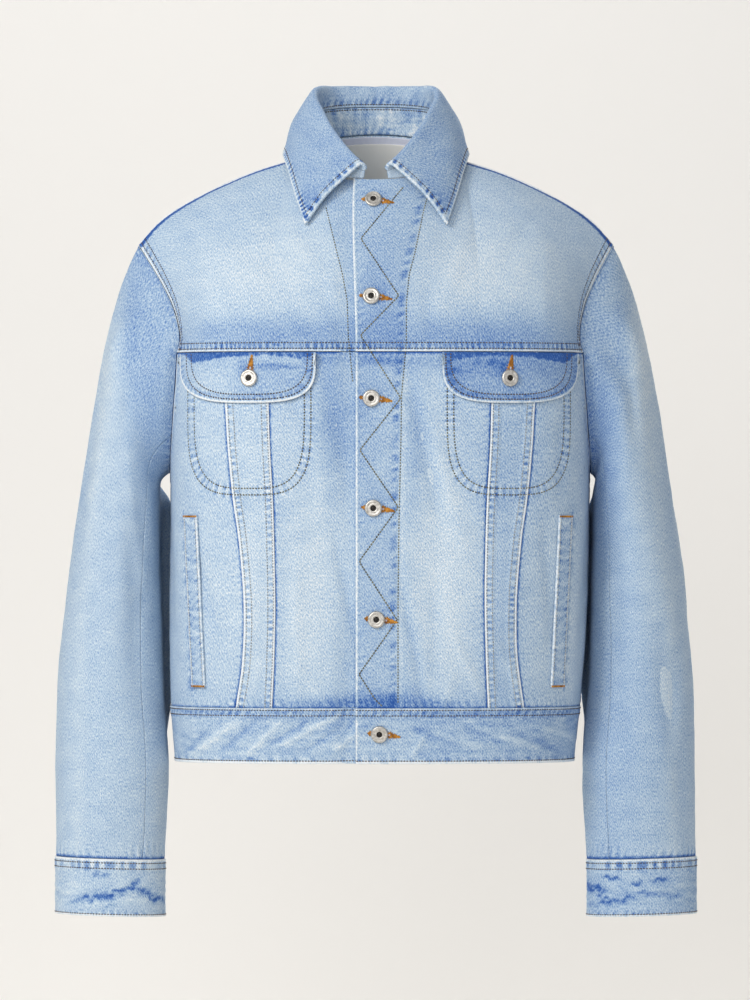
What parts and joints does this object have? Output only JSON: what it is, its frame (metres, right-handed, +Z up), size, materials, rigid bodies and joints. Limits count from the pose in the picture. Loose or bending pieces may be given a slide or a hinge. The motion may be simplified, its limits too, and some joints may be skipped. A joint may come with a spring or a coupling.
{
  "type": "denim jacket",
  "caption": "Boxy light-wash denim jacket, buttoned up and filled out with nobody in it, with a folded collar, flapped chest pockets, side welt pockets, waistband and cuffs.",
  "frame": {"origin": "middle of the neck opening at the level where the shoulders carry the jacket, on the side seams' plane", "axes": "+Z up along the body, +X towards the wearer's left, +Y towards the back, so the front faces -Y"},
  "size_m": [0.6408, 0.2731, 0.8327],
  "materials": {
    "light_denim": "washed cotton twill, light blue with pale worn areas",
    "doubled_denim": "washed cotton twill in two plies, a little bluer at its edges",
    "cream_tape": "plain woven tape and a bare label",
    "button_metal": "brushed nickel shank buttons"
  },
  "bodies": {
    "root": {"front_yoke_left": "light_denim", "front_yoke_right": "light_denim", "back_yoke": "light_denim", "front_centre_left": "light_denim", "front_centre_right": "light_denim", "front_middle_left": "light_denim", "front_middle_right": "light_denim", "front_side_left": "light_denim", "front_side_right": "light_denim", "back_centre": "light_denim", "back_side_left": "light_denim", "back_side_right": "light_denim", "waistband_left": "doubled_denim", "waistband_right": "doubled_denim", "waistband_back": "doubled_denim", "collar_stand": "doubled_denim", "collar_fall": "doubled_denim", "sleeve_top_left": "light_denim", "sleeve_top_right": "light_denim", "sleeve_under_left": "light_denim", "sleeve_under_right": "light_denim", "cuff_left": "doubled_denim", "cuff_right": "doubled_denim", "chest_pocket_left": "light_denim", "chest_pocket_right": "light_denim", "pocket_flap_left": "doubled_denim", "pocket_flap_right": "doubled_denim", "welt_left": "light_denim", "welt_right": "light_denim", "neck_tape": "cream_tape", "neck_label": "cream_tape", "button_front_1": "button_metal", "button_front_2": "button_metal", "button_front_3": "button_metal", "button_front_4": "button_metal", "button_front_5": "button_metal", "button_front_6": "button_metal", "button_flap_left": "button_metal", "button_flap_right": "button_metal", "button_cuff_left": "button_metal", "button_cuff_right": "button_metal"}
  },
  "joints": []
}
